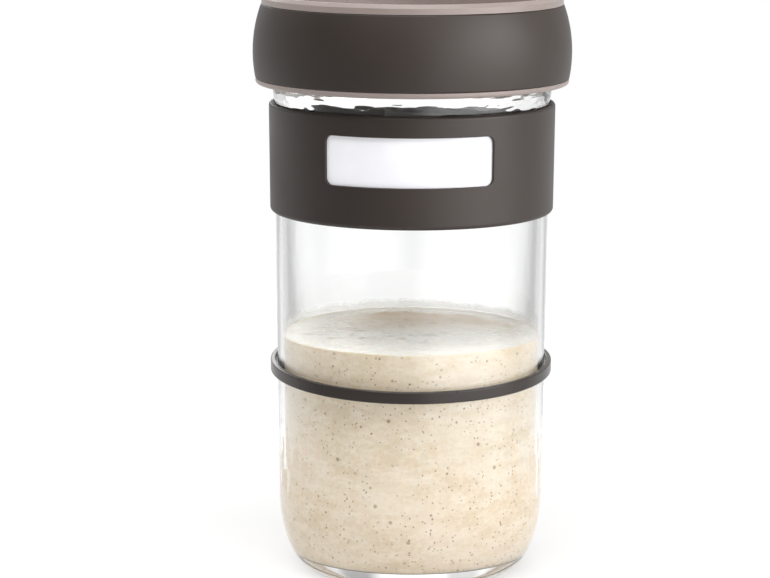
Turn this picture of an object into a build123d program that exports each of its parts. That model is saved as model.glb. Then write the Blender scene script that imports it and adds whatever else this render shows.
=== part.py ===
from build123d import *
import os
from math import cos, degrees, radians, sin, tan

# A sourdough starter jar, in millimetres: a tapered glass jar with a heavy rounded base, the
# starter inside it, a silicone band with a window for a write-on plate, a silicone ring that
# marks the level after feeding, and a push-on lid with a soft grip sleeve, a seal and a vent
# valve. +Z is up, the origin is the middle of the foot, and the label window faces -Y.

# Fits between pieces
running_gap = 0.10        # round pieces that turn or slide on the glass, on the radius
seat_gap = 0.05           # pieces seated in each other
overrun = 2.0             # how far a cutter passes the face that it cuts

# Glass jar
gauge_radius = 42.5       # outside radius of the wall at the gauge height
gauge_height = 87.6
wall_draft = 0.59         # degrees, wider at the top
glass_wall = 2.0
rim_height = 162.0
foot_radius = 31.2        # where the round of the corner meets the foot
foot_width = 4.2
punt_depth = 1.5          # the hollow under the base
punt_run = 2.5
floor_thickness = 4.8
corner_height = 25.2      # where the straight wall begins
heel_width = 0.2          # how much the floor inside is narrower than the foot
neck_foot_drop = 14.2     # drops are measured from the rim down
waist_drop = 13.2         # the narrowest part of the neck
waist_depth = 0.12
bead_low_drop = 7.2       # the bead under the lid, up to which the neck widens
bead_high_drop = 6.2
bead_depth = 0.86
neck_top_drop = 5.2
neck_round = 1.0

# Starter
fill_height = 76.0
starter_gap = 0.10

# Label band and its plate
band_drop = 13.2          # from the rim down to the top of the band
band_height = 34.25
band_thickness = 1.55
band_top_round = 1.1
band_bottom_round = 1.35
window_height = 15.1
window_drop = 6.35        # from the top of the band down to the window
window_half_angle = 34.7  # degrees
window_turn = -1.1        # degrees about the axis
window_round = 2.3
plate_thickness = 0.6
plate_margin = 2.6        # hidden behind the band on every side of the window

# Marker ring
ring_height = 63.7        # its lower edge, where its tilted plane crosses the axis
ring_width = 3.65
ring_thickness = 1.66
ring_tilt = 2.94          # degrees, lower in front
ring_round = 0.4
ring_travel_up = 40.0

# Lid
seal_web = 2.0            # over the glass rim
panel_thickness = 2.0
recess_depth = 16.3       # from the top of the lid down to the panel
recess_draft = 0.6        # how much wider the recess is at its mouth
skirt_depth = 7.4         # from the glass rim down to the foot of the lid
skirt_gap = 1.25          # between the bore of the skirt and the widest glass, for the seal
skirt_wall = 1.4
top_trim_width = 3.0
top_trim_depth = 1.05     # how far it stands out over the sleeve's seat
top_chamfer = 1.15
lip_round = 0.35
bottom_trim_width = 1.7
bottom_trim_depth = 3.0
bottom_trim_round = 1.0
skirt_lead = 0.4

# Grip sleeve
sleeve_bulge = 3.85       # its thickness where it is widest
sleeve_bulge_share = 0.36 # of its width, up from its lower edge
sleeve_top_thickness = 1.15
sleeve_bottom_thickness = 3.05
sleeve_round = 0.5

# Lid seal
seal_outer_leg = 5.0      # down the outside of the glass
seal_inner_leg = 4.0      # down the inside of the glass
seal_inner_thickness = 1.2
seal_wall_thickness = 1.3
seal_round = 0.4

# Vent valve
valve_radius = 9.0
valve_edge = 0.8
valve_crown = 2.4
valve_stem_radius = 2.4
valve_travel = 0.8
bulb_radius = 3.3
bulb_height = 2.4
vent_count = 6
vent_radius = 1.0
vent_pitch_radius = 5.6

# Worked out from the sizes above
slope = tan(radians(wall_draft))
floor_height = punt_depth + floor_thickness
heel_radius = foot_radius - heel_width
band_top = rim_height - band_drop
band_bottom = band_top - band_height
window_middle = band_top - window_drop - window_height / 2
panel_bottom = rim_height + seal_web + seat_gap
panel_top = panel_bottom + panel_thickness
lid_top = panel_top + recess_depth
lid_bottom = rim_height - skirt_depth
sleeve_top = lid_top - top_trim_width
sleeve_bottom = lid_bottom + bottom_trim_width


def glass_radius(height):
    return gauge_radius + (height - gauge_height) * slope


def glass_bore(height):
    return glass_radius(height) - glass_wall


rim_radius = glass_radius(rim_height)
skirt_bore = rim_radius + skirt_gap
skirt_radius = skirt_bore + skirt_wall
seal_inner_radius = glass_bore(rim_height - seal_inner_leg) - running_gap
seal_wall_radius = seal_inner_radius - seal_inner_thickness - seat_gap
valve_seat = panel_top + seat_gap


def revolved(outline):
    return revolve(Plane.XZ * make_face(outline), Axis.Z)


def rounded(points, rounds):
    """A ring turned from a section of straight sides, with a radius at some of its corners."""
    section = make_face(Polyline(*points, close=True))
    for corner, radius in rounds.items():
        nearest = section.vertices().sort_by_distance((*points[corner], 0))[0]
        section = fillet(nearest, radius)
    return revolve(Plane.XZ * section, Axis.Z)


def corner_curve(inner_end, across, down):
    """A quarter of an ellipse, from a flat floor round and up to the foot of the wall."""
    return EllipticalCenterArc((inner_end, corner_height), across, down, start_angle=-90, arc_size=90)


def inside_curve(gap):
    """The round of the cavity's corner, drawn in by a gap."""
    across = glass_bore(corner_height) - heel_radius - gap
    return corner_curve(heel_radius, across, corner_height - floor_height - gap)


def glass_jar():
    foot_inside = foot_radius - foot_width
    corner_width = glass_radius(corner_height) - foot_radius
    lip_height = rim_height - glass_wall / 2
    lip_middle = glass_radius(lip_height) - glass_wall / 2
    neck = [(neck_foot_drop, 0), (waist_drop, -waist_depth), (bead_low_drop, bead_depth),
            (bead_high_drop, bead_depth), (neck_top_drop, 0)]
    wall = [(glass_radius(corner_height), corner_height)]
    wall += [(glass_radius(rim_height - drop) + depth, rim_height - drop) for drop, depth in neck]
    wall += [(glass_radius(lip_height), lip_height)]
    outline = [
        Polyline((0, punt_depth), (foot_inside - punt_run, punt_depth), (foot_inside, 0), (foot_radius, 0)),
        corner_curve(foot_radius, corner_width, corner_height),
        FilletPolyline(*wall, radius=neck_round),
        CenterArc((lip_middle, lip_height), glass_wall / 2, 0, 180),
        Line((glass_bore(lip_height), lip_height), (glass_bore(corner_height), corner_height)),
        inside_curve(0),
        Polyline((heel_radius, floor_height), (0, floor_height), (0, punt_depth)),
    ]
    return revolved(outline)


def sourdough_starter():
    bottom = floor_height + starter_gap
    side = glass_bore(corner_height) - starter_gap
    top_side = glass_bore(fill_height) - starter_gap
    outline = [
        inside_curve(starter_gap),
        Polyline((side, corner_height), (top_side, fill_height), (0, fill_height)),
        Polyline((0, fill_height), (0, bottom), (heel_radius, bottom)),
    ]
    return revolved(outline)


def band_shell(low, high, inner, outer):
    """A conical shell that follows the glass, from one distance off the glass to another."""
    return [
        (glass_radius(low) + inner, low),
        (glass_radius(low) + outer, low),
        (glass_radius(high) + outer, high),
        (glass_radius(high) + inner, high),
    ]


def plate_sector(thickness, growth):
    """The part of a shell behind the window, grown past the plate's own edges by a fit."""
    reach = window_height / 2 + plate_margin + growth
    shell = band_shell(window_middle - reach, window_middle + reach, running_gap, running_gap + thickness)
    half_angle = window_half_angle + degrees((plate_margin + growth) / glass_radius(window_middle))
    section = Plane.XZ * make_face(Polyline(*shell, close=True))
    turned = Rot(0, 0, window_turn - 90 - half_angle) * section
    return revolve(turned, Axis.Z, revolution_arc=2 * half_angle)


def window_cutter():
    """A rounded window whose ends run towards the axis, so that they cut the band square."""
    faces = []
    for distance in (gauge_radius - band_thickness - overrun, gauge_radius + 2 * band_thickness + overrun):
        width = 2 * distance * tan(radians(window_half_angle))
        place = Plane(origin=(0, -distance, window_middle), x_dir=(1, 0, 0), z_dir=(0, -1, 0))
        faces.append(place * RectangleRounded(width, window_height, window_round))
    return Rot(0, 0, window_turn) * loft(faces, ruled=True)


def label_band():
    shell = band_shell(band_bottom, band_top, running_gap, running_gap + band_thickness)
    band = rounded(shell, {1: band_bottom_round, 2: band_top_round})
    return band - plate_sector(plate_thickness + seat_gap, seat_gap) - window_cutter()


def label_plate():
    return plate_sector(plate_thickness, 0)


def marker_ring():
    """The ring hugs the glass, so its bore stays upright while its two faces are tilted."""
    rise = (gauge_radius + ring_thickness) * sin(radians(ring_tilt))
    highest = ring_height + ring_travel_up + ring_width + rise
    bore = glass_radius(highest) + running_gap
    outside = bore + ring_thickness
    middle = ring_height + ring_width * cos(radians(ring_tilt)) / 2
    tall = ring_width + 2 * rise + 2 * overrun
    wide = 2 * outside + 2 * overrun
    tube = Cylinder(outside, tall) - Cylinder(bore, tall)
    slab = Rot(ring_tilt, 0, 0) * Box(wide, wide, ring_width)
    ring = tube & slab
    return Pos(0, 0, middle) * fillet(ring.edges(), ring_round)


def vent_holes():
    hole = Pos(0, 0, panel_top) * Cylinder(vent_radius, 2 * (panel_thickness + overrun))
    return [place * hole for place in PolarLocations(vent_pitch_radius, vent_count)]


def lid_core():
    """A cup on top, a skirt below, and a channel between two trims that holds the sleeve."""
    stem_hole = valve_stem_radius + running_gap
    top_trim_radius = skirt_radius + top_trim_depth
    bottom_trim_radius = skirt_radius + bottom_trim_depth
    wall_inside = seal_wall_radius - seal_wall_thickness
    wall_bottom = panel_bottom - seal_web - seal_inner_leg
    points = [
        (stem_hole, panel_top),
        (skirt_bore, panel_top),
        (skirt_bore + recess_draft, lid_top),
        (top_trim_radius - top_chamfer, lid_top),
        (top_trim_radius, lid_top - top_chamfer),
        (top_trim_radius, sleeve_top),
        (skirt_radius, sleeve_top),
        (skirt_radius, sleeve_bottom),
        (bottom_trim_radius, sleeve_bottom),
        (bottom_trim_radius, lid_bottom),
        (skirt_bore, lid_bottom),
        (skirt_bore, panel_bottom),
        (seal_wall_radius, panel_bottom),
        (seal_wall_radius, wall_bottom),
        (wall_inside, wall_bottom),
        (wall_inside, panel_bottom),
        (stem_hole, panel_bottom),
    ]
    rounds = {2: lip_round, 3: lip_round, 4: lip_round, 9: bottom_trim_round, 10: skirt_lead}
    return rounded(points, rounds) - vent_holes()


def grip_sleeve():
    seat = skirt_radius + seat_gap
    low = sleeve_bottom + seat_gap
    high = sleeve_top - seat_gap
    widest = low + (high - low) * sleeve_bulge_share
    bottom = (skirt_radius + sleeve_bottom_thickness, low)
    top = (skirt_radius + sleeve_top_thickness, high)
    section = make_face([
        ThreePointArc(bottom, (skirt_radius + sleeve_bulge, widest), top),
        Polyline(top, (seat, high), (seat, low), bottom),
    ])
    for corner in (bottom, top):
        nearest = section.vertices().sort_by_distance((*corner, 0))[0]
        section = fillet(nearest, sleeve_round)
    return revolve(Plane.XZ * section, Axis.Z)


def lid_seal():
    """Laid over the glass rim, with one leg inside the neck and one between neck and skirt."""
    top = panel_bottom - seat_gap
    outside = skirt_bore - seat_gap
    outer_bore = rim_radius + running_gap
    inner_bore = seal_wall_radius + seat_gap
    web_bottom = rim_height + seat_gap
    points = [
        (inner_bore, top),
        (outside, top),
        (outside, rim_height - seal_outer_leg),
        (outer_bore, rim_height - seal_outer_leg),
        (outer_bore, web_bottom),
        (seal_inner_radius, web_bottom),
        (seal_inner_radius, rim_height - seal_inner_leg),
        (inner_bore, rim_height - seal_inner_leg),
    ]
    return rounded(points, {2: seal_round, 3: seal_round, 6: seal_round, 7: seal_round})


def vent_valve():
    """A mushroom valve: its cap covers the vents, and a bulb under the panel keeps it in."""
    bulb_top = panel_bottom - valve_travel - seat_gap
    bulb_middle = bulb_top - bulb_height / 2
    bulb_bottom = bulb_top - bulb_height
    edge_top = valve_seat + valve_edge
    crown_height = valve_seat + valve_crown
    stem = valve_stem_radius
    outline = [
        Polyline((stem, bulb_top), (stem, valve_seat), (valve_radius, valve_seat)),
        Line((valve_radius, valve_seat), (valve_radius, edge_top)),
        TangentArc((0, crown_height), (valve_radius, edge_top), tangent=(1, 0)),
        Polyline((0, crown_height), (0, bulb_bottom), (stem, bulb_bottom)),
        ThreePointArc((stem, bulb_bottom), (bulb_radius, bulb_middle), (stem, bulb_top)),
    ]
    return revolved(outline)


pieces = {
    "glass_jar": glass_jar(),
    "sourdough_starter": sourdough_starter(),
    "label_band": label_band(),
    "label_plate": label_plate(),
    "marker_ring": marker_ring(),
    "lid_core": lid_core(),
    "grip_sleeve": grip_sleeve(),
    "lid_seal": lid_seal(),
    "vent_valve": vent_valve(),
}

os.makedirs("parts", exist_ok=True)
for name, piece in pieces.items():
    export_step(piece, f"parts/{name}.step")
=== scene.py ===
import math
import bpy
from mathutils import Matrix, Vector, noise


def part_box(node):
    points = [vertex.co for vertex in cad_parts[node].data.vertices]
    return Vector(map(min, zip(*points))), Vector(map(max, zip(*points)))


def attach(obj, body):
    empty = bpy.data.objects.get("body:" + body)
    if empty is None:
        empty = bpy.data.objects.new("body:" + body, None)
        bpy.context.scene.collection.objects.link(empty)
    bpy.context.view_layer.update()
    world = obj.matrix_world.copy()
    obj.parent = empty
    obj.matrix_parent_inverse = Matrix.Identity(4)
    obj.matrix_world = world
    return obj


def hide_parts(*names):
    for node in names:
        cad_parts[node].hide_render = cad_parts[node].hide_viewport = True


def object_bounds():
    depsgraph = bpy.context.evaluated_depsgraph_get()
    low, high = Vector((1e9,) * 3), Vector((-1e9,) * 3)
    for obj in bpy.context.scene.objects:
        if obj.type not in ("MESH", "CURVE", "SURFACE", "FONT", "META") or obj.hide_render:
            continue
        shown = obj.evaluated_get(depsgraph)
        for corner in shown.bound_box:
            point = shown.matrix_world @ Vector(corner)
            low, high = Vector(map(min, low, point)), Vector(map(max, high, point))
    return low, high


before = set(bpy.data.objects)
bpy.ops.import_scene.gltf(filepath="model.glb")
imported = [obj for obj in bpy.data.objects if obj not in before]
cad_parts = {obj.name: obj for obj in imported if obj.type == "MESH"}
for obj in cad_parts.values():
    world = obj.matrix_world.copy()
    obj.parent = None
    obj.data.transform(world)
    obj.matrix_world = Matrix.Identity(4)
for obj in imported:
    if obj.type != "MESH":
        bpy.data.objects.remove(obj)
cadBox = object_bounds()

mm = 0.001
tiny = 0.002  # radius in mm of a ring that is merged into a pole
poleMerge = 2.2 * tiny  # distances in mm at which two points become one
pointMerge = 0.0005


def nodeTop(node):
    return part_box(node)[1][2] / mm


def nodeBottom(node):
    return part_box(node)[0][2] / mm


# the glass, whose taper everything round it follows
jar = {
    "gaugeRadius": 42.5, "gaugeHeight": 87.6, "draft": 0.59, "wall": 2.0,
    "rimHeight": nodeTop("glass_jar"),
    "footRadius": 31.2, "footWidth": 4.2, "footRound": 0.7,
    "puntDepth": 1.5, "puntRun": 2.5, "floorThickness": 4.8,
    "cornerHeight": 25.2, "heelWidth": 0.2,
    "puntRound": 1.5, "neckRun": 3.0, "neckRound": 0.9,
    # drop under the rim, and how far the glass stands out there
    "neck": ((14.2, 0.0), (13.2, -0.12), (9.6, 0.42), (7.2, 0.86), (6.2, 0.86), (5.2, 0.0)),
    "steps": 256, "cornerSteps": 36, "insideSteps": 28, "rimSteps": 14, "wallSpacing": 8.0,
    # size and detail of the ripples in the glass, and the height and strength they seem to have
    "ripple": (14.0, 2.0), "neckRipple": (4.6, 1.2), "rippleHeight": 0.25, "rippleStrength": 0.22,
    # the neck is less even than the wall, from one drop under the rim up to the other
    "unevenFrom": 14.0, "unevenTo": 11.0, "unevenness": 3.6,
    "tint": (0.995, 1.0, 0.997, 1), "shadowTint": (0.96, 0.97, 0.965, 1),
}
jar["floorHeight"] = jar["puntDepth"] + jar["floorThickness"]
jar["heelRadius"] = jar["footRadius"] - jar["heelWidth"]


def glassRadius(height):
    return jar["gaugeRadius"] + (height - jar["gaugeHeight"]) * math.tan(math.radians(jar["draft"]))


def glassBore(height):
    return glassRadius(height) - jar["wall"]


# outlines are lists of (radius, height) in mm
def arc(centreR, centreZ, across, up, start, end, steps):
    points = []
    for step in range(steps + 1):
        angle = math.radians(start + (end - start) * step / steps)
        points.append((centreR + across * math.cos(angle), centreZ + up * math.sin(angle)))
    return points


def softened(corners, steps=5):
    # corners are (radius, height, rounding), and the outline closes on itself
    points = []
    for index, (r, z, rounding) in enumerate(corners):
        here = Vector((r, z))
        if not rounding:
            points.append((r, z))
            continue
        back = (Vector(corners[index - 1][:2]) - here).normalized()
        ahead = (Vector(corners[(index + 1) % len(corners)][:2]) - here).normalized()
        half = back.angle(ahead) / 2
        centre = here + (back + ahead).normalized() * rounding / math.sin(half)
        first = here + back * rounding / math.tan(half) - centre
        last = here + ahead * rounding / math.tan(half) - centre
        for step in range(steps + 1):
            share = step / steps
            spoke = first.slerp(last, share, first) if first.length else first
            points.append(tuple(centre + spoke.normalized() * rounding))
    return points


def evenly(start, end, spacing):
    count = max(1, round(math.dist(start, end) / spacing))
    return [tuple(a + (b - a) * step / count for a, b in zip(start, end)) for step in range(count + 1)]


def editAll():
    bpy.ops.object.mode_set(mode="EDIT")
    bpy.ops.mesh.select_all(action="SELECT")


def turned(name, outline, steps, closed=True, smooth=35):
    # a chain of points is extruded one by one, then spun round the axis
    bpy.ops.object.select_all(action="DESELECT")
    r, z = outline[0]
    bpy.ops.mesh.primitive_plane_add(size=mm, location=(max(r, tiny) * mm, 0, z * mm))
    piece = bpy.context.object
    piece.name = name
    piece.data.name = name
    bpy.ops.object.transform_apply(location=True)
    editAll()
    bpy.ops.mesh.merge(type="CENTER")
    lastR, lastZ = max(r, tiny), z
    for r, z in outline[1:] + ([outline[0]] if closed else []):
        r = max(r, tiny)
        move = ((r - lastR) * mm, 0, (z - lastZ) * mm)
        bpy.ops.mesh.extrude_region_move(TRANSFORM_OT_translate={"value": move})
        lastR, lastZ = r, z
    bpy.ops.mesh.select_all(action="SELECT")
    bpy.ops.mesh.remove_doubles(threshold=pointMerge * mm)
    bpy.ops.mesh.spin(steps=steps, angle=2 * math.pi, center=(0, 0, 0), axis=(0, 0, 1))
    bpy.ops.mesh.select_all(action="SELECT")
    bpy.ops.mesh.remove_doubles(threshold=poleMerge * mm)
    bpy.ops.mesh.normals_make_consistent(inside=False)
    bpy.ops.object.mode_set(mode="OBJECT")
    bpy.ops.object.shade_smooth_by_angle(angle=math.radians(smooth))
    return piece


def applied(piece, kind, **settings):
    bpy.ops.object.select_all(action="DESELECT")
    piece.select_set(True)
    bpy.context.view_layer.objects.active = piece
    modifier = piece.modifiers.new(kind.title(), kind)
    for key, value in settings.items():
        setattr(modifier, key, value)
    bpy.ops.object.modifier_apply(modifier=modifier.name)


def cut(piece, cutter):
    applied(piece, "BOOLEAN", operation="DIFFERENCE", solver="EXACT", object=cutter)
    bpy.data.objects.remove(cutter)


def evenNormals(piece):
    applied(piece, "WEIGHTED_NORMAL", keep_sharp=True, weight=60)


def finished(piece, material, body, slot, *nodes):
    piece.data.materials.clear()
    piece.data.materials.append(material)
    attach(piece, body)
    if nodes:
        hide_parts(*nodes)
    print("made", piece.name, len(piece.data.polygons), "faces")


# shader maths: a wire is a socket that can be added, multiplied and compared
class Wire:
    def __init__(self, maker, socket):
        self.maker = maker
        self.socket = socket

    def maths(self, operation, *values):
        return self.maker.node("ShaderNodeMath", {"operation": operation}, dict(enumerate(values))).out(0)

    def __add__(self, other):
        return self.maths("ADD", self, other)

    def __radd__(self, other):
        return self.maths("ADD", other, self)

    def __sub__(self, other):
        return self.maths("SUBTRACT", self, other)

    def __rsub__(self, other):
        return self.maths("SUBTRACT", other, self)

    def __mul__(self, other):
        return self.maths("MULTIPLY", self, other)

    def __rmul__(self, other):
        return self.maths("MULTIPLY", other, self)

    def __or__(self, other):
        return self.maths("MAXIMUM", self, other)

    def ramp(self, low, high, fromValue=0.0, toValue=1.0):
        # a smooth step from one level to the other
        return self.maker.node(
            "ShaderNodeMapRange", {"interpolation_type": "SMOOTHSTEP"},
            {"Value": self, "From Min": low, "From Max": high, "To Min": fromValue, "To Max": toValue},
        ).out(0)


class Step:
    def __init__(self, maker, made):
        self.maker = maker
        self.made = made

    def out(self, socket):
        return Wire(self.maker, self.made.outputs[socket])


class Maker:
    def __init__(self, tree):
        self.tree = tree
        self.tree.nodes.clear()

    def node(self, kind, settings=None, sockets=None):
        made = self.tree.nodes.new(kind)
        for key, value in (settings or {}).items():
            setattr(made, key, value)
        for key, value in (sockets or {}).items():
            if isinstance(value, Wire):
                self.tree.links.new(value.socket, made.inputs[key])
            else:
                made.inputs[key].default_value = value
        return Step(self, made)

    def place(self):
        return self.node("ShaderNodeTexCoord").out("Object")

    def level(self):
        return self.node("ShaderNodeSeparateXYZ", {}, {0: self.place()}).out(2)

    def stretched(self, scale):
        return self.node("ShaderNodeMapping", {}, {"Vector": self.place(), "Scale": scale}).out(0)

    def cloud(self, vector, size, detail=3.0, rough=0.5):
        # noise from 0 to 1, whose lumps measure about size in mm
        sockets = {"Vector": vector, "Scale": 1 / (size * mm), "Detail": detail, "Roughness": rough}
        return self.node("ShaderNodeTexNoise", {}, sockets).out(0)

    def vectorMaths(self, operation, *values, result=0):
        return self.node("ShaderNodeVectorMath", {"operation": operation}, dict(enumerate(values))).out(result)

    def blend(self, factor, first, second):
        names = {"Factor": factor, 6: first, 7: second}
        return self.node("ShaderNodeMix", {"data_type": "RGBA"}, names).out(2)

    def bump(self, height, distance, strength=1.0):
        names = {"Height": height, "Distance": distance * mm, "Strength": strength}
        return self.node("ShaderNodeBump", {}, names).out(0)

    def skin(self, sockets):
        return self.node("ShaderNodeBsdfPrincipled", {}, sockets).out(0)

    def glow(self, strength):
        return self.node("ShaderNodeEmission", {}, {"Strength": strength}).out(0)

    def mixed(self, factor, first, second):
        return self.node("ShaderNodeMixShader", {}, {0: factor, 1: first, 2: second}).out(0)

    def output(self, shader, kind="ShaderNodeOutputMaterial"):
        self.node(kind, {}, {"Surface": shader})


def newMaterial(name):
    material = bpy.data.materials.new(name)
    material.use_nodes = True
    return material, Maker(material.node_tree)


def linear(red, green, blue):
    # a colour as read off a screen, from 0 to 255, turned to the renderer's own scale
    shares = [value / 255 for value in (red, green, blue)]
    return tuple(s / 12.92 if s <= 0.04045 else ((s + 0.055) / 1.055) ** 2.4 for s in shares)


def rgba(colour, lift=1.0):
    return (*[min(1.0, c * lift) for c in colour], 1.0)


# camera, solved from the ellipses of the jar in the photograph
view = {
    "width": 770, "focal": 2821, "sensor": 36,
    "distance": 0.8785, "height": 0.2472, "tilt": 10.21, "yaw": -0.54, "roll": 0.18,
}


def addCamera():
    data = bpy.data.cameras.new("camera")
    data.sensor_width = view["sensor"]
    data.lens = view["focal"] / view["width"] * view["sensor"]
    camera = bpy.data.objects.new("camera", data)
    bpy.context.collection.objects.link(camera)
    heading = Matrix.Rotation(-math.radians(view["yaw"]), 4, "Z")
    pitch = Matrix.Rotation(math.radians(90 - view["tilt"]), 4, "X")
    roll = Matrix.Rotation(math.radians(view["roll"]), 4, "Z")
    place = Matrix.Translation((0, -view["distance"], view["height"]))
    camera.matrix_world = place @ heading @ pitch @ roll
    bpy.context.scene.camera = camera


addCamera()
print("camera placed")


# glass
def glassMaterial():
    material, maker = newMaterial("clearGlass")
    ripple = maker.cloud(maker.stretched((1, 1, 0.35)), *jar["ripple"])
    rim = jar["rimHeight"]
    neck = maker.level().ramp((rim - jar["unevenFrom"]) * mm, (rim - jar["unevenTo"]) * mm)
    lumps = maker.cloud(maker.stretched((0.5, 0.5, 1.5)), *jar["neckRipple"])
    ripple = ripple + lumps * neck * jar["unevenness"]
    glass = maker.skin({
        "Base Color": jar["tint"], "Roughness": 0.0, "IOR": 1.5, "Transmission Weight": 1.0,
        "Normal": maker.bump(ripple, jar["rippleHeight"], jar["rippleStrength"]),
    })
    clear = maker.node("ShaderNodeBsdfTransparent", {}, {"Color": jar["shadowTint"]}).out(0)
    path = maker.node("ShaderNodeLightPath")
    lamps = path.out("Is Shadow Ray") | path.out("Is Diffuse Ray")
    maker.output(maker.mixed(lamps, glass, clear))
    return material


def insideCorner(gap):
    across = glassBore(jar["cornerHeight"]) - jar["heelRadius"] - gap
    down = jar["cornerHeight"] - jar["floorHeight"] - gap
    return arc(jar["heelRadius"], jar["cornerHeight"], across, down, 0, -90, jar["insideSteps"])


def addGlass():
    foot = jar["footRadius"]
    inside = foot - jar["footWidth"]
    corner = jar["cornerHeight"]
    half = jar["wall"] / 2
    lip = jar["rimHeight"] - half
    # the neck waists in above the band, then swells into a bead under the lid
    neck = [(jar["rimHeight"] - drop, depth) for drop, depth in jar["neck"]]
    under = neck[0][0] - jar["neckRun"]
    base = softened([
        (0, jar["puntDepth"], 0),
        (inside - jar["puntRun"], jar["puntDepth"], jar["puntRound"]),
        (inside, 0, jar["footRound"]),
    ])[:-1]
    outline = [(0, jar["puntDepth"])] + base[1:]
    outline += arc(foot, corner, glassRadius(corner) - foot, corner, -90, 0, jar["cornerSteps"])
    outline += evenly((glassRadius(corner), corner), (glassRadius(under), under), jar["wallSpacing"])[1:]
    outline += softened(
        [(glassRadius(under), under, 0)]
        + [(glassRadius(height) + depth, height, jar["neckRound"]) for height, depth in neck]
        + [(glassRadius(lip), lip, 0)], 6)[1:-1]
    outline += arc(glassRadius(lip) - half, lip, half, half, 0, 180, jar["rimSteps"])
    outline += evenly((glassBore(lip), lip), (glassBore(corner), corner), jar["wallSpacing"])[1:-1]
    outline += insideCorner(0)
    outline.append((0, jar["floorHeight"]))
    piece = turned("jarGlass", outline, jar["steps"], closed=False, smooth=60)
    evenNormals(piece)
    finished(piece, glassMaterial(), "jar", "clear_glass", "glass_jar")


addGlass()

# starter
starter = {
    "fill": nodeTop("sourdough_starter"), "gap": 0.025, "overlap": 0.012, "wetBelow": 28.0, "dryAbove": 50.0,
    "sideSpacing": 0.62, "topSpacing": 0.75, "steps": 416, "topEdge": 0.45, "topDrop": 0.05, "topDepth": 0.3,
    # each wave of the top: scale across and along, layer of the noise, height in mm
    "fineWave": (0.4, 0.9, 3.1, 0.14), "broadWave": (0.09, 0.14, 7.7, 0.5), "blister": (0.3, 0.3, 21.0, 1.0),
    "blisterFrom": 0.25, "waveShare": 0.8, "sink": 0.45, "climb": 0.45, "climbRun": 2.2,
    # near the glass and in the middle: run in mm over which the waves grow, and what is left of them at its start
    "calmRim": (3, 0.25), "calmMiddle": (6, 0.05),
    # scale of the wet streaks across and upwards, and how far wet and dry run into each other
    "streakScale": (0.45, 0.1), "streakReach": 0.9,
    # depths and radii between which the skin fades, and heights over the floor for the thin line of painted shade
    "skinDepth": (1.6, 1.0), "skinReach": (39.5, 40.2), "footShadeLine": (0.14, 0.32),
    # each size of bubble: cell size in mm, radius as a share of it, rarity
    "bubbles": ((1.3, 0.18, 0.42), (2.3, 0.15, 0.52), (5.2, 0.11, 0.5)),
    # how much they crowd together, how softly rarity and edge come in, and how dark the painted shade in their
    # hollows gets
    "crowding": 2.2, "rarityFade": (-0.1, 0.4), "bubbleFade": (0.55, 1.5), "bubbleShadeShare": 0.8,
    # the dried patch on top, which also stands for painted shade at the back of the top: raggedness, and the places
    # in m between which it comes in
    "dryRagged": 0.028, "dryShadeAlong": (-0.012, 0.02), "dryShadeAcross": (-0.034, -0.006), "dryShadeReach": (0.031, 0.038),
    "dryShadeShare": 0.8, "footShadeShare": 0.85,
    "pale": linear(234, 223, 206), "body": linear(226, 210, 190), "tan": linear(214, 194, 166),
    "bubbleShadeColour": linear(130, 98, 62), "footShadeColour": linear(88, 78, 58),
    "skinPale": linear(246, 239, 228), "skinDryShadeTan": linear(202, 173, 134),
}


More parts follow.
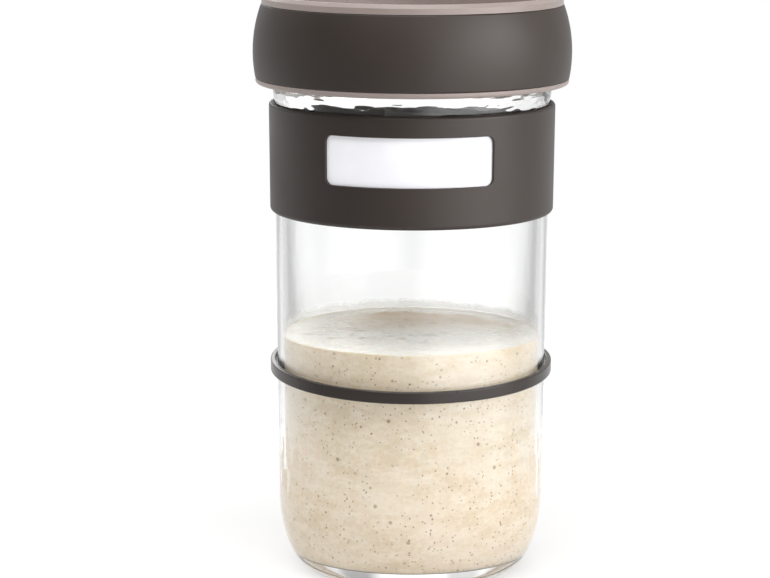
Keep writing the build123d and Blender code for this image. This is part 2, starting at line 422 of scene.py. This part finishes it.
def starterMaterial():
    material, maker = newMaterial("wetStarter")
    place = maker.place()
    broad = maker.cloud(maker.stretched((1, 1, 1.6)), 26.0, 3.0, 0.5)
    folds = maker.cloud(maker.stretched((0.7, 0.7, 1.8)), 6.0, 5.0, 0.6)
    mottle = maker.cloud(maker.stretched((1, 1, 1.4)), 1.5, 3.0, 0.6)
    grain = maker.cloud(place, 0.6, 2.0)
    warm = (broad * 0.5 + folds * 0.27 + mottle * 0.23).ramp(0.34, 0.62)
    colour = maker.blend(warm, rgba(starter["tan"]), rgba(starter["body"]))
    light = (mottle * 0.4 + folds * 0.6).ramp(0.4, 0.72, 0.0, 0.75)
    colour = maker.blend(light, colour, rgba(starter["pale"]))
    crowd = maker.cloud(place, 14.0, 2.0)
    dots = None
    for size, edge, rarity in starter["bubbles"]:
        cells = maker.node("ShaderNodeTexVoronoi", {}, {"Vector": place, "Scale": 1 / (size * mm)})
        chance = maker.node("ShaderNodeSeparateColor", {}, {0: cells.out("Color")}).out(0)
        crowded = chance + crowd * starter["crowding"] - starter["crowding"] / 2
        chosen = crowded.ramp(*[rarity + fade for fade in starter["rarityFade"]])
        dot = cells.out("Distance").ramp(*[edge * fade for fade in starter["bubbleFade"]], 1.0, 0.0) * chosen
        dots = dot if dots is None else dots | dot
    # the bubbles are darkened with painted shade in their hollows
    colour = maker.blend(dots * starter["bubbleShadeShare"], colour, rgba(starter["bubbleShadeColour"]))
    split = maker.node("ShaderNodeSeparateXYZ", {}, {0: place})
    level = split.out(2)
    top = level.ramp(*[(starter["fill"] - depth) * mm for depth in starter["skinDepth"]])
    across = maker.vectorMaths("LENGTH", maker.stretched((1, 1, 0)), result="Value")
    top = top * across.ramp(*[radius * mm for radius in starter["skinReach"]], 1.0, 0.0)
    # the skin on top is paler and wetter, and towards the back it turns tan, partly from drying and partly as
    # painted shade
    patchy = (broad * 0.5 + folds * 0.5) * starter["dryRagged"] - starter["dryRagged"] / 2
    behind = (split.out(1) + patchy).ramp(*starter["dryShadeAlong"])
    behind = behind * (split.out(0) + patchy).ramp(*starter["dryShadeAcross"])
    crustAndShade = (across + patchy * 0.5).ramp(*starter["dryShadeReach"], 1.0, 0.0) * behind
    skin = maker.blend(crustAndShade * starter["dryShadeShare"], rgba(starter["skinPale"]), rgba(starter["skinDryShadeTan"]))
    colour = maker.blend(top, colour, skin)
    # a thin line of painted shade where it ends on the floor of the jar
    footShadeLine = [(jar["floorHeight"] + rise) * mm for rise in starter["footShadeLine"]]
    line = level.ramp(*footShadeLine, starter["footShadeShare"], 0.0)
    colour = maker.blend(line, colour, rgba(starter["footShadeColour"]))
    wrinkles = maker.cloud(maker.stretched((0.4, 1.5, 1)), 2.4, 4.0, 0.6)
    height = (folds * 0.35 + mottle * 0.12 + grain * 0.05 - dots * 0.5) * (1 - top) + wrinkles * 0.9 * top
    rough = mottle.ramp(0.3, 0.7, 0.36, 0.5) * (1 - top * (0.45 - crustAndShade * 0.45))
    maker.output(maker.skin({
        "Base Color": colour, "Roughness": rough, "IOR": 1.36,
        "Subsurface Weight": 0.3, "Subsurface Radius": (1.0, 0.7, 0.45), "Subsurface Scale": 1.0 * mm,
        "Normal": maker.bump(height, 0.22, 0.6),
    }))
    return material


def isWet(x, y, z):
    # low down the starter wets the glass, and higher up that breaks into tall streaks and stops
    dryness = (z - starter["wetBelow"]) / (starter["dryAbove"] - starter["wetBelow"])
    across, upwards = starter["streakScale"]
    return noise.noise(Vector((x * across, y * across, z * upwards))) > (dryness - 0.5) * starter["streakReach"]


def wave(name, x, y):
    across, along, layer, height = starter[name]
    level = noise.noise(Vector((x * across, y * along, layer)))
    if name == "blister":
        level = max(0, level - starter["blisterFrom"])
    return level * height


def surfaceHeight(x, y, r, edge):
    # a wrinkled skin with a few blisters, which climbs a little where it meets the glass
    waves = wave("fineWave", x, y) + wave("broadWave", x, y) + wave("blister", x, y)
    climb = max(0, (r - edge + starter["climbRun"]) / starter["climbRun"]) ** 2 * starter["climb"]
    # the waves are lower near the glass and in the very middle
    rimRun, rimShare = starter["calmRim"]
    middleRun, middleShare = starter["calmMiddle"]
    calm = min(1, (edge - r) / rimRun + rimShare) * min(1, r / middleRun + middleShare)
    return waves * calm * starter["waveShare"] - starter["sink"] + climb


def addStarter():
    fill = starter["fill"]
    wet = -starter["overlap"]
    low = insideCorner(wet)
    side = glassBore(jar["cornerHeight"]) - wet
    top = glassBore(fill) - wet
    outline = [(0, jar["floorHeight"] + wet)] + low[::-1]
    soft = starter["topEdge"]
    high = fill - starter["topDrop"]
    outline += evenly((side, jar["cornerHeight"]), (top, high - soft), starter["sideSpacing"])[1:]
    outline += arc(top - soft, high - soft, soft, soft, 0, 90, 4)[1:]
    outline += evenly((top - soft, high), (0, high), starter["topSpacing"])[1:]
    piece = turned("starterDough", outline, starter["steps"], closed=False, smooth=80)
    dry = 1 - (starter["gap"] + starter["overlap"]) / side
    floor = jar["floorHeight"] + starter["gap"]
    for vertex in piece.data.vertices:
        x, y, z = vertex.co / mm
        r = math.hypot(x, y)
        if z > fill - starter["topDepth"]:
            vertex.co.z += surfaceHeight(x, y, r, top) * mm
        elif not isWet(x, y, z):
            vertex.co.x *= dry
            vertex.co.y *= dry
        vertex.co.z = max(vertex.co.z, floor * mm)
    finished(piece, starterMaterial(), "jar", "starter", "sourdough_starter")


addStarter()

# the film that the starter left on the glass above itself
smear = {
    "height": 4.2, "below": 0.08, "gap": 0.04, "thickness": 0.05, "rows": 12,
    # what makes the film cover the glass, what is taken off that, and where the rest fades in
    "dropShare": 1.2, "streakShare": 1.1, "speckShare": 0.35, "bare": 0.8, "cover": (0.1, 1.05),
    "colour": linear(252, 249, 245), "most": 0.36, "frontShare": 0.15, "front": (-0.03, 0.02),
}


def smearMaterial():
    material, maker = newMaterial("starterSmear")
    place = maker.place()
    low = starter["fill"] * mm
    drop = maker.level().ramp(low, low + smear["height"] * mm, 1.0, 0.0)
    streak = maker.cloud(maker.stretched((1, 1, 0.5)), 5.0, 5.0, 0.6)
    speck = maker.cloud(place, 0.9, 3.0, 0.7)
    depth = maker.node("ShaderNodeSeparateXYZ", {}, {0: place}).out(1)
    back = depth.ramp(*smear["front"], smear["frontShare"], 1.0)
    cover = drop * smear["dropShare"] + streak * smear["streakShare"] - smear["bare"] + speck * smear["speckShare"]
    cover = cover.ramp(*smear["cover"], 0.0, smear["most"]) * back
    maker.output(maker.skin({"Base Color": rgba(smear["colour"]), "Roughness": 0.5, "Alpha": cover}))
    return material


def addSmear():
    low = starter["fill"] - smear["below"]
    high = starter["fill"] + smear["height"]
    inner = smear["gap"] + smear["thickness"]
    outer = smear["gap"]
    pitch = smear["height"] / smear["rows"]
    outline = evenly((glassBore(low) - inner, low), (glassBore(high) - inner, high), pitch)
    outline += [(glassBore(high) - outer, high), (glassBore(low) - outer, low)]
    piece = turned("starterFilm", outline, jar["steps"], smooth=40)
    finished(piece, smearMaterial(), "jar", "starter")


addSmear()


# silicone, in the dark brown of the band, sleeve, ring and valve
def siliconeMaterial(name, colour, roughness=0.46, grain=0.12):
    material, maker = newMaterial(name)
    place = maker.place()
    cast = maker.cloud(place, 30.0, 3.0)
    fine = maker.cloud(place, grain, 2.0)
    tone = maker.blend(cast.ramp(0.3, 0.7), rgba(colour, 0.94), rgba(colour, 1.06))
    maker.output(maker.skin({
        "Base Color": tone, "Roughness": cast.ramp(0.25, 0.75, roughness - 0.03, roughness + 0.05), "IOR": 1.42,
        "Normal": maker.bump(fine, 0.01, 0.35),
    }))
    return material


darkBrown = linear(51, 43, 39)

# label band: modelled flat, then wrapped round the glass
band = {
    "bottom": nodeBottom("label_band"), "top": nodeTop("label_band"), "gap": 0.1, "thickness": 1.55,
    "topRound": 1.1, "bottomRound": 1.35, "columns": 240, "merge": 0.004, "smooth": 28,
    "edgeSteps": 7, "cornerSteps": 10, "mouthSteps": 3, "plateSteps": 2,
    "windowHeight": 15.1, "windowDrop": 6.35, "windowHalfAngle": 34.7, "windowTurn": -1.1,
    "windowRound": 2.3, "windowEdge": 0.3,
    "plateThickness": 0.6, "plateMargin": 2.6, "plateFit": 0.05, "plateRound": 1.2, "plateEdge": 0.12,
    "plateLow": linear(237, 237, 241), "plateHigh": linear(243, 243, 246),
}
near = 0.01  # distance in mm within which two places count as the same
band["middle"] = band["top"] - band["windowDrop"] - band["windowHeight"] / 2
band["outside"] = glassRadius(band["middle"]) + band["gap"] + band["thickness"]
band["girth"] = 2 * math.pi * band["outside"]


def slab(name, width, height, front, back, middle):
    # a block that stands flat, its face towards -Y, from one depth to another in mm off the glass
    bpy.ops.object.select_all(action="DESELECT")
    bpy.ops.mesh.primitive_cube_add(size=1, location=(0, -(front + back) / 2 * mm, middle * mm))
    piece = bpy.context.object
    piece.name = name
    piece.data.name = name
    piece.scale = (width * mm, (front - back) * mm, height * mm)
    bpy.ops.object.transform_apply(location=True, scale=True)
    return piece


def bevelEdges(piece, chosen, width, segments):
    # chosen says yes or no to an edge by its two ends, in mm
    bpy.context.view_layer.objects.active = piece
    bpy.ops.object.mode_set(mode="EDIT")
    bpy.ops.mesh.select_mode(type="EDGE")
    bpy.ops.mesh.select_all(action="DESELECT")
    bpy.ops.object.mode_set(mode="OBJECT")
    for edge in piece.data.edges:
        ends = [piece.data.vertices[index].co / mm for index in edge.vertices]
        edge.select = chosen(*ends)
    bpy.ops.object.mode_set(mode="EDIT")
    bpy.ops.mesh.bevel(offset=width * mm, segments=segments, affect="EDGES")
    bpy.ops.object.mode_set(mode="OBJECT")
    bpy.ops.object.mode_set(mode="EDIT")
    bpy.ops.mesh.select_mode(type="VERT")
    bpy.ops.object.mode_set(mode="OBJECT")


def roundedBlock(name, width, height, front, back, middle, radius):
    piece = slab(name, width, height, front, back, middle)
    bevelEdges(piece, lambda a, b: abs(a.y - b.y) > near, radius, band["cornerSteps"])
    return piece


def wrapped(piece, columns, turn):
    # columns are cut first, so that the flat piece can follow the round of the glass
    bpy.ops.object.select_all(action="DESELECT")
    piece.select_set(True)
    bpy.context.view_layer.objects.active = piece
    xs = [vertex.co.x for vertex in piece.data.vertices]
    low, high = min(xs), max(xs)
    pitch = band["girth"] / columns * mm
    editAll()
    for column in range(-columns // 2 + 1, columns // 2):
        if low < column * pitch < high:
            bpy.ops.mesh.select_all(action="SELECT")
            bpy.ops.mesh.bisect(plane_co=(column * pitch, 0, 0), plane_no=(1, 0, 0))
    bpy.ops.object.mode_set(mode="OBJECT")
    for vertex in piece.data.vertices:
        x, y, z = vertex.co / mm
        angle = x / band["outside"] + math.radians(turn)
        r = glassRadius(z) - y
        vertex.co = Vector((r * math.sin(angle), -r * math.cos(angle), z)) * mm
    editAll()
    bpy.ops.mesh.remove_doubles(threshold=band["merge"] * mm)
    bpy.ops.mesh.normals_make_consistent(inside=False)
    bpy.ops.object.mode_set(mode="OBJECT")
    bpy.ops.object.shade_smooth_by_angle(angle=math.radians(band["smooth"]))


def addBand():
    gap = band["gap"]
    outer = gap + band["thickness"]
    middle = (band["top"] + band["bottom"]) / 2
    piece = slab("labelBand", band["girth"], band["top"] - band["bottom"], outer, gap, middle)

    def onFace(point):
        return abs(point.y + outer) < near

    def along(height):
        return lambda *ends: all(onFace(end) and abs(end.z - height) < near for end in ends)

    bevelEdges(piece, along(band["top"]), band["topRound"], band["edgeSteps"])
    bevelEdges(piece, along(band["bottom"]), band["bottomRound"], band["edgeSteps"])
    width = 2 * math.radians(band["windowHalfAngle"]) * band["outside"]
    high = band["windowHeight"]
    cut(piece, roundedBlock("windowCutter", width, high, 2 * outer, -outer, band["middle"], band["windowRound"]))
    margin = band["plateMargin"] + band["plateFit"]
    pocket = gap + band["plateThickness"] + band["plateFit"]
    rebate = roundedBlock(
        "rebateCutter", width + 2 * margin, high + 2 * margin, pocket, -outer, band["middle"], band["plateRound"])
    cut(piece, rebate)

    def mouth(*ends):
        # the edges of the window, on the face of the band
        return all(
            onFace(end) and abs(end.x) < width / 2 + 5 * near and abs(end.z - band["middle"]) < high / 2 + 5 * near
            for end in ends
        )

    bevelEdges(piece, mouth, band["windowEdge"], band["mouthSteps"])
    bpy.ops.object.mode_set(mode="EDIT")
    bpy.ops.mesh.select_mode(type="FACE")
    bpy.ops.mesh.select_all(action="DESELECT")
    bpy.ops.object.mode_set(mode="OBJECT")
    # the two ends of the flat band meet once it is round the glass, so their faces go
    end = (band["girth"] / 2 - near) * mm
    for face in piece.data.polygons:
        face.select = abs(face.center.x) > end
    bpy.ops.object.mode_set(mode="EDIT")
    bpy.ops.mesh.delete(type="ONLY_FACE")
    bpy.ops.mesh.select_mode(type="VERT")
    bpy.ops.object.mode_set(mode="OBJECT")
    wrapped(piece, band["columns"], band["windowTurn"])
    evenNormals(piece)
    finished(piece, siliconeMaterial("bandSilicone", darkBrown), "band", "dark_silicone", "label_band")


def plateMaterial():
    material, maker = newMaterial("whitePlate")
    place = maker.place()
    haze = maker.cloud(place, 12.0, 3.0)
    tone = maker.blend(haze.ramp(0.3, 0.7), rgba(band["plateLow"]), rgba(band["plateHigh"]))
    maker.output(maker.skin({
        "Base Color": tone, "Roughness": haze.ramp(0.2, 0.8, 0.28, 0.38), "IOR": 1.46,
        "Normal": maker.bump(maker.cloud(place, 0.25, 2.0), 0.004, 0.3),
    }))
    return material


def addPlate():
    width = 2 * (math.radians(band["windowHalfAngle"]) * band["outside"] + band["plateMargin"])
    height = band["windowHeight"] + 2 * band["plateMargin"]
    front = band["gap"] + band["plateThickness"]
    piece = roundedBlock("labelPlate", width, height, front, band["gap"], band["middle"], band["plateRound"])
    bevelEdges(
        piece, lambda a, b: abs(a.y + front) < near > abs(b.y + front), band["plateEdge"], band["plateSteps"])
    wrapped(piece, band["columns"], band["windowTurn"])
    evenNormals(piece)
    finished(piece, plateMaterial(), "band", "white_plate", "label_plate")


addBand()
addPlate()

# marker ring: hugs the glass, lower in front
ring = {
    "height": 63.7, "width": 3.65, "thickness": 1.66, "tilt": 2.94, "round": 0.4, "highest": 109.6, "gap": 0.1,
    "steps": 256, "colour": linear(47, 40, 37), "roughness": 0.27,
}


def addRing():
    bore = glassRadius(ring["highest"]) + ring["gap"]
    outside = bore + ring["thickness"]
    low = ring["height"]
    high = low + ring["width"]
    soft = ring["round"]
    outline = softened([(bore, low, soft), (outside, low, soft), (outside, high, soft), (bore, high, soft)])
    piece = turned("markerRing", outline, ring["steps"])
    for vertex in piece.data.vertices:
        vertex.co.z += vertex.co.y * math.tan(math.radians(ring["tilt"]))
    evenNormals(piece)
    silicone = siliconeMaterial("ringSilicone", ring["colour"], ring["roughness"])
    finished(piece, silicone, "ring", "ring_silicone", "marker_ring")


addRing()

# lid
lid = {
    "top": nodeTop("lid_core"), "bottom": nodeBottom("lid_core"), "sealTop": nodeTop("lid_seal"),
    "panelThickness": 2.0, "seatGap": 0.05, "skirtGap": 1.25, "skirtWall": 1.4, "recessDraft": 0.6,
    "topTrimWidth": 3.0, "topTrimDepth": 1.05, "topChamfer": 1.15, "lipRound": 0.35, "recessRound": 0.9,
    "trimRound": 0.12, "wallRound": 0.3, "innerRound": 0.4,
    "bottomTrimWidth": 1.7, "bottomTrimDepth": 3.0, "bottomTrimRound": 1.0, "skirtLead": 0.4,
    "sealWeb": 2.0, "outerLeg": 5.0, "innerLeg": 4.0, "legThickness": 1.2, "sealWall": 1.3, "runningGap": 0.1,
    "sealRound": 0.15, "legRound": 0.4, "webRound": 0.2,
    "bulge": 3.82, "bulgeShare": 0.36, "topThickness": 1.15, "bottomThickness": 3.05, "sleeveRound": 0.5,
    "steps": 256, "sleeveSteps": 40,
    "plastic": linear(146, 133, 128), "sealLow": linear(206, 202, 198), "sealHigh": linear(220, 217, 213),
}
lid["rimRadius"] = glassRadius(jar["rimHeight"])
lid["bore"] = lid["rimRadius"] + lid["skirtGap"]
lid["skirt"] = lid["bore"] + lid["skirtWall"]
lid["panelBottom"] = lid["sealTop"] + lid["seatGap"]
lid["panelTop"] = lid["panelBottom"] + lid["panelThickness"]
lid["innerLegOutside"] = glassBore(jar["rimHeight"] - lid["innerLeg"]) - lid["runningGap"]
lid["wallOutside"] = lid["innerLegOutside"] - lid["legThickness"] - lid["seatGap"]
lid["sleeveTop"] = lid["top"] - lid["topTrimWidth"]
lid["sleeveBottom"] = lid["bottom"] + lid["bottomTrimWidth"]
valve = {
    "radius": 9.0, "edge": 0.8, "crown": 2.4, "stem": 2.4, "travel": 0.8, "bulb": 3.3, "bulbHeight": 2.4,
    "vents": 6, "ventRadius": 1.0, "ventPitch": 5.6, "ventSides": 24, "steps": 128, "roughness": 0.44,
    "seatRound": 0.2, "edgeRound": 0.3, "domeSteps": 16, "bulbSteps": 12,
}


def plasticMaterial():
    material, maker = newMaterial("mauvePlastic")
    place = maker.place()
    cast = maker.cloud(place, 24.0, 3.0)
    fine = maker.cloud(place, 0.16, 2.0)
    tone = maker.blend(cast.ramp(0.3, 0.7), rgba(lid["plastic"], 0.95), rgba(lid["plastic"], 1.05))
    maker.output(maker.skin({
        "Base Color": tone, "Roughness": cast.ramp(0.25, 0.75, 0.36, 0.44), "IOR": 1.49,
        "Subsurface Weight": 0.1, "Subsurface Radius": (1.0, 0.6, 0.5), "Subsurface Scale": 0.6 * mm,
        "Normal": maker.bump(fine, 0.008, 0.35),
    }))
    return material


def addLidCore():
    hole = valve["stem"] + lid["runningGap"]
    trimTop = lid["skirt"] + lid["topTrimDepth"]
    trimBottom = lid["skirt"] + lid["bottomTrimDepth"]
    wallInside = lid["wallOutside"] - lid["sealWall"]
    wallBottom = lid["panelBottom"] - lid["sealWeb"] - lid["innerLeg"]
    lip = lid["lipRound"]
    inner = lid["innerRound"]
    chamfer = lid["topChamfer"]
    outline = softened([
        (hole, lid["panelTop"], 0), (lid["bore"], lid["panelTop"], lid["recessRound"]),
        (lid["bore"] + lid["recessDraft"], lid["top"], lip), (trimTop - chamfer, lid["top"], lip),
        (trimTop, lid["top"] - chamfer, lip), (trimTop, lid["sleeveTop"], lid["trimRound"]),
        (lid["skirt"], lid["sleeveTop"], 0), (lid["skirt"], lid["sleeveBottom"], 0),
        (trimBottom, lid["sleeveBottom"], lid["trimRound"]), (trimBottom, lid["bottom"], lid["bottomTrimRound"]),
        (lid["bore"], lid["bottom"], lid["skirtLead"]), (lid["bore"], lid["panelBottom"], inner),
        (lid["wallOutside"], lid["panelBottom"], 0), (lid["wallOutside"], wallBottom, lid["wallRound"]),
        (wallInside, wallBottom, lid["wallRound"]), (wallInside, lid["panelBottom"], inner),
        (hole, lid["panelBottom"], 0),
    ])
    piece = turned("lidCore", outline, lid["steps"])
    for vent in range(valve["vents"]):
        angle = 2 * math.pi * vent / valve["vents"]
        bpy.ops.object.select_all(action="DESELECT")
        bpy.ops.mesh.primitive_cylinder_add(
            vertices=valve["ventSides"], radius=valve["ventRadius"] * mm, depth=4 * lid["panelThickness"] * mm,
            location=(valve["ventPitch"] * math.cos(angle) * mm, valve["ventPitch"] * math.sin(angle) * mm,
                      lid["panelTop"] * mm))
        cut(piece, bpy.context.object)
    evenNormals(piece)
    finished(piece, plasticMaterial(), "lid", "mauve_plastic", "lid_core")


def throughThree(first, second, third, steps):
    # an arc through three points
    (ax, ay), (bx, by), (cx, cy) = first, second, third
    d = 2 * (ax * (by - cy) + bx * (cy - ay) + cx * (ay - by))
    a, b, c = ax * ax + ay * ay, bx * bx + by * by, cx * cx + cy * cy
    x = (a * (by - cy) + b * (cy - ay) + c * (ay - by)) / d
    y = (a * (cx - bx) + b * (ax - cx) + c * (bx - ax)) / d
    radius = math.dist((x, y), first)
    start = math.degrees(math.atan2(ay - y, ax - x))
    end = math.degrees(math.atan2(cy - y, cx - x))
    return arc(x, y, radius, radius, start, end, steps)


def addSleeve():
    low = lid["sleeveBottom"] + lid["seatGap"]
    high = lid["sleeveTop"] - lid["seatGap"]
    seat = lid["skirt"] + lid["seatGap"]
    soft = lid["sleeveRound"]
    widest = (lid["skirt"] + lid["bulge"], low + (high - low) * lid["bulgeShare"])
    bottom = (lid["skirt"] + lid["bottomThickness"], low)
    top = (lid["skirt"] + lid["topThickness"], high)
    bow = throughThree(bottom, widest, top, lid["sleeveSteps"])
    inner = [point for point in bow if low + soft < point[1] < high - soft]
    corners = [(seat, low, 0), (*bottom, soft)] + [(*point, 0) for point in inner] + [(*top, soft), (seat, high, 0)]
    piece = turned("gripSleeve", softened(corners), lid["steps"])
    evenNormals(piece)
    finished(piece, siliconeMaterial("sleeveSilicone", darkBrown), "lid", "sleeve_silicone", "grip_sleeve")


def sealMaterial():
    material, maker = newMaterial("sealSilicone")
    place = maker.place()
    cast = maker.cloud(place, 18.0, 3.0)
    tone = maker.blend(cast.ramp(0.3, 0.7), rgba(lid["sealLow"]), rgba(lid["sealHigh"]))
    maker.output(maker.skin({
        "Base Color": tone, "Roughness": cast.ramp(0.3, 0.7, 0.38, 0.48), "IOR": 1.42,
        "Subsurface Weight": 0.3, "Subsurface Radius": (1.0, 0.9, 0.85), "Subsurface Scale": 1.2 * mm,
        "Normal": maker.bump(maker.cloud(place, 0.2, 2.0), 0.006, 0.3),
    }))
    return material


def addSeal():
    rim = jar["rimHeight"]
    outside = lid["bore"] - lid["seatGap"]
    outerBore = lid["rimRadius"] + lid["runningGap"]
    innerBore = lid["wallOutside"] + lid["seatGap"]
    web = rim + lid["seatGap"]
    outerEnd = rim - lid["outerLeg"]
    innerEnd = rim - lid["innerLeg"]
    soft = lid["legRound"]
    outline = softened([
        (innerBore, lid["sealTop"], lid["sealRound"]), (outside, lid["sealTop"], lid["sealRound"]),
        (outside, outerEnd, soft), (outerBore, outerEnd, soft),
        (outerBore, web, lid["webRound"]), (lid["innerLegOutside"], web, lid["webRound"]),
        (lid["innerLegOutside"], innerEnd, soft), (innerBore, innerEnd, soft),
    ])
    piece = turned("lidSeal", outline, lid["steps"])
    evenNormals(piece)
    finished(piece, sealMaterial(), "lid", "seal_silicone", "lid_seal")


def addValve():
    seat = lid["panelTop"] + lid["seatGap"]
    bulbTop = lid["panelBottom"] - valve["travel"] - lid["seatGap"]
    bulbBottom = bulbTop - valve["bulbHeight"]
    stem = valve["stem"]
    edge = seat + valve["edge"]
    rise = valve["crown"] - valve["edge"]
    ball = (valve["radius"] ** 2 + rise ** 2) / (2 * rise)
    lean = math.degrees(math.asin(valve["radius"] / ball))
    dome = arc(0, edge + rise - ball, ball, ball, 90 - lean, 90, valve["domeSteps"])
    widest = (valve["bulb"], bulbTop - valve["bulbHeight"] / 2)
    bulge = throughThree((stem, bulbBottom), widest, (stem, bulbTop), valve["bulbSteps"])
    outline = [(0, bulbBottom)] + bulge + [(stem, seat)] + softened([
        (stem, seat, 0), (valve["radius"], seat, valve["seatRound"]),
        (valve["radius"], edge, valve["edgeRound"]), (0, edge + rise, 0),
    ])[1:-2] + dome[1:]
    piece = turned("ventValve", outline, valve["steps"], closed=False)
    evenNormals(piece)
    silicone = siliconeMaterial("valveSilicone", darkBrown, valve["roughness"])
    finished(piece, silicone, "vent", "valve_silicone", "vent_valve")


addLidCore()
addSleeve()
addSeal()
addValve()

# studio: pale floor that fades to white, soft lights on the right, above, on the left and behind
studio = {
    # brightness of the floor as seen, and the distances in m between which it fades to white
    "floorSize": 14.0, "floorGrey": 0.8, "floorDirect": 0.45, "floorGlow": 0.5, "fade": (0.12, 0.9),
    # brightness of what the object reflects, and of what shows through the glass
    "ambient": 0.56, "front": 0.05, "back": 0.8, "side": 3.0, "shine": 0.35, "wings": 0.4, "beyond": 0.7,
    "frontFloor": 0.3, "sideFloor": 2.2, "clearOfJar": (0.15, 0.35),
    "straightBack": (0, 1, 0), "frontRight": (0.77, -0.64, 0), "backLeft": (-0.24, 0.92, 0.31),
    # where each of these comes in and where it is full, as the cosine of the angle to its direction
    "wingInside": (0.966, 0.99), "wingOutside": (0.86, 0.92), "sideSpread": (0.6, 0.95),
    "shineSpread": (0.9, 0.99), "frontSpread": (-0.4, 0.4), "backSpread": (-0.6, 0.75),
    # name, azimuth and height in degrees, distance in m, power in W, width and height in m, seen through glass
    "lamps": (
        ("keySoftbox", 62, 15, 1.1, 6.2, 0.75, 0.6, True),
        ("topSoftbox", -6, 68, 1.1, 9.2, 0.9, 0.7, True),
        ("leftSoftbox", -112, 60, 1.2, 1.9, 0.4, 0.9, True),
        ("backSoftbox", 196, 25, 1.2, 3.0, 0.6, 0.4, False),
    ),
}


def towards(maker, vector, way):
    # 1 where the vector, laid level, points that way, and -1 where it points away from it
    unit = maker.vectorMaths("NORMALIZE", maker.vectorMaths("MULTIPLY", vector, (1, 1, 0)))
    return maker.vectorMaths("DOT_PRODUCT", unit, way, result="Value")


def wingShare(heading):
    # grey wings stand beside the white backdrop and draw the edges of the glass
    inside = heading.ramp(*studio["wingInside"], 1.0, 0.0)
    return inside * (1 - heading.ramp(*studio["wingOutside"], studio["beyond"], 0.0))


def addFloor():
    bpy.ops.object.select_all(action="DESELECT")
    bpy.ops.mesh.primitive_plane_add(size=studio["floorSize"])
    floor = bpy.context.object
    floor.name = "studioFloor"
    material, maker = newMaterial("studioFloor")
    path = maker.node("ShaderNodeLightPath")
    gloss = path.out("Is Glossy Ray")
    through = path.out("Is Transmission Ray")
    place = maker.place()
    away = maker.vectorMaths("LENGTH", place, result="Value")
    clear = away.ramp(*studio["clearOfJar"])
    heading = towards(maker, place, studio["straightBack"])
    right = towards(maker, place, studio["frontRight"])

    def matt(grey):
        return maker.node("ShaderNodeBsdfDiffuse", {}, {"Color": (grey, grey, grey, 1)}).out(0)

    lit = matt(studio["floorDirect"])
    pale = maker.node("ShaderNodeAddShader", {}, {0: lit, 1: maker.glow(studio["floorGlow"])}).out(0)
    pale = maker.mixed(away.ramp(*studio["fade"]), pale, maker.glow(1.0))
    pale = maker.mixed(wingShare(heading) * clear * through, pale, maker.glow(studio["wings"]))
    dark, bright = maker.glow(studio["frontFloor"]), maker.glow(studio["sideFloor"])
    front = heading.ramp(*studio["frontSpread"], 1.0, 0.0) * clear * gloss
    pale = maker.mixed(front, pale, maker.mixed(right.ramp(*studio["sideSpread"]), dark, bright))
    seen = path.out("Is Camera Ray") | gloss | through
    maker.output(maker.mixed(seen, matt(studio["floorGrey"]), pale))
    floor.data.materials.append(material)


def addWorld():
    world = bpy.data.worlds.new("studio")
    world.use_nodes = True
    bpy.context.scene.world = world
    maker = Maker(world.node_tree)
    direction = maker.node("ShaderNodeTexCoord").out("Generated")
    depth = maker.node("ShaderNodeSeparateXYZ", {}, {0: direction}).out(1)
    right = maker.vectorMaths("DOT_PRODUCT", direction, studio["frontRight"], result="Value")
    left = maker.vectorMaths("DOT_PRODUCT", direction, studio["backLeft"], result="Value")
    gloss = depth.ramp(*studio["backSpread"], studio["front"], studio["back"])
    gloss = gloss + right.ramp(*studio["sideSpread"], 0.0, studio["side"])
    wings = wingShare(towards(maker, direction, studio["straightBack"])) * (1 - studio["wings"])
    backdrop = 1 + left.ramp(*studio["shineSpread"], 0.0, studio["shine"]) - wings
    path = maker.node("ShaderNodeLightPath")
    strength = studio["ambient"]
    for ray, light in (("Is Glossy Ray", gloss), ("Is Transmission Ray", backdrop), ("Is Camera Ray", 1.0)):
        share = path.out(ray)
        strength = strength * (1 - share) + light * share
    sky = maker.node("ShaderNodeBackground", {}, {"Color": (1, 1, 1, 1), "Strength": strength})
    maker.output(sky.out(0), "ShaderNodeOutputWorld")


def addLamp(name, azimuth, height, distance, power, width, tall, throughGlass):
    data = bpy.data.lights.new(name, "AREA")
    data.shape = "RECTANGLE"
    data.size = width
    data.size_y = tall
    data.energy = power
    lamp = bpy.data.objects.new(name, data)
    bpy.context.collection.objects.link(lamp)
    lamp.visible_transmission = throughGlass
    turn, rise = math.radians(azimuth), math.radians(height)
    out = Vector((math.sin(turn) * math.cos(rise), -math.cos(turn) * math.cos(rise), math.sin(rise)))
    middle = Vector((0, 0, sum(corner[2] for corner in cadBox) / 2))
    lamp.location = middle + out * distance
    lamp.rotation_euler = out.to_track_quat("Z", "Y").to_euler()


addFloor()
addWorld()
for lamp in studio["lamps"]:
    addLamp(*lamp)
bpy.context.scene.view_settings.view_transform = "Standard"
print("studio lit")
